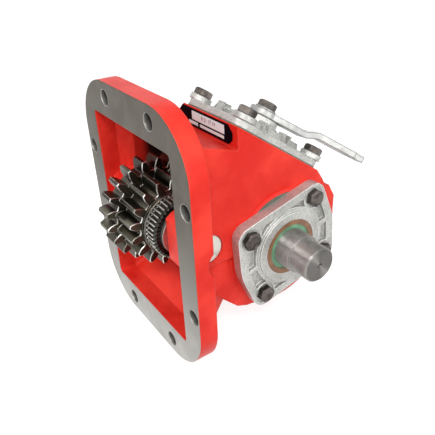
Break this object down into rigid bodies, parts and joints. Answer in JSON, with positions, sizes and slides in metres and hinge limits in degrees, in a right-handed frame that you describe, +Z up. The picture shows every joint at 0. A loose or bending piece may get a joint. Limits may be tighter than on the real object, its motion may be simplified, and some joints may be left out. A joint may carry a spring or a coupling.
{
  "type": "power take off unit",
  "caption": "Side-mounted truck power take off: red cast housing with bolt flange, idler gear cluster in its window, lever shift and sealed output shaft.",
  "frame": {"origin": "centre of the machined mounting face", "axes": "+X along the output shaft towards its free end, +Y from the mounting face back into the housing, +Z up"},
  "size_m": [0.1907, 0.1985, 0.2154],
  "materials": {
    "red_paint": "gloss",
    "machined_steel": "satin",
    "gear_steel": "satin",
    "aluminium": "cast",
    "black_screw": "matt",
    "zinc": "bright zinc",
    "gasket": "matt",
    "seal_brown": "satin",
    "seal_green": "satin",
    "black_plate": "gloss",
    "bronze": "satin"
  },
  "bodies": {
    "housing_body": {"housing": "red_paint", "idler_pin": "machined_steel", "roll_pin": "machined_steel", "thrust_washer_front": "machined_steel", "thrust_washer_rear": "machined_steel", "shift_rail": "machined_steel", "rail_plug": "machined_steel", "shift_cover_gasket": "gasket", "shift_cover": "aluminium", "cover_screws": "black_screw", "bearing_gasket": "gasket", "bearing_cover": "aluminium", "bearing_screws": "black_screw", "seal_case": "seal_brown", "seal_lip": "seal_green", "seal_spring": "machined_steel", "front_bearing_outer": "machined_steel", "rear_bearing_outer": "machined_steel", "rear_cap": "aluminium", "cap_gasket": "gasket", "cap_screws": "black_screw", "name_plate": "black_plate"},
    "cluster_body": {"cluster_gear": "gear_steel", "needle_row_front": "machined_steel", "needle_row_rear": "machined_steel", "needle_spacer": "machined_steel"},
    "shaft_body": {"output_shaft": "machined_steel", "front_bearing_inner": "machined_steel", "rear_bearing_inner": "machined_steel", "front_bearing_balls": "machined_steel", "rear_bearing_balls": "machined_steel", "snap_ring_inner": "machined_steel", "snap_ring_front": "machined_steel", "snap_ring_rear": "machined_steel"},
    "sliding_gear_body": {"sliding_gear": "gear_steel"},
    "fork_body": {"shift_fork": "bronze"},
    "lever_body": {"shift_crank": "machined_steel", "crank_ring": "seal_brown", "shift_lever": "zinc", "lever_washer": "zinc", "lever_screw": "black_screw"}
  },
  "joints": [
    {"name": "cluster_spin", "type": "hinge", "parent": "housing_body", "child": "cluster_body", "pos_m": [0, 0.0235, 0], "axis": [1, 0, 0], "continuous": true},
    {"name": "shaft_spin", "type": "hinge", "parent": "housing_body", "child": "shaft_body", "pos_m": [0, 0.0929, -0.01919], "axis": [1, 0, 0], "continuous": true},
    {"name": "lever_turn", "type": "hinge", "parent": "housing_body", "child": "lever_body", "pos_m": [0.0295, 0.09007, 0.06055], "axis": [0, -0.5779, -0.8161], "range_deg": [0, 48]},
    {"name": "gear_slide", "type": "slide", "parent": "shaft_body", "child": "sliding_gear_body", "axis": [1, 0, 0], "range_m": [0, 0.0201]},
    {"name": "fork_slide", "type": "slide", "parent": "housing_body", "child": "fork_body", "axis": [1, 0, 0], "range_m": [0, 0.0201]}
  ],
  "couplings": [
    {"joint": "shaft_spin", "follows": "cluster_spin", "ratio": -0.89474},
    {"joint": "gear_slide", "follows": "lever_turn", "m_per_rad": 0.023873},
    {"joint": "fork_slide", "follows": "lever_turn", "m_per_rad": 0.023873}
  ]
}
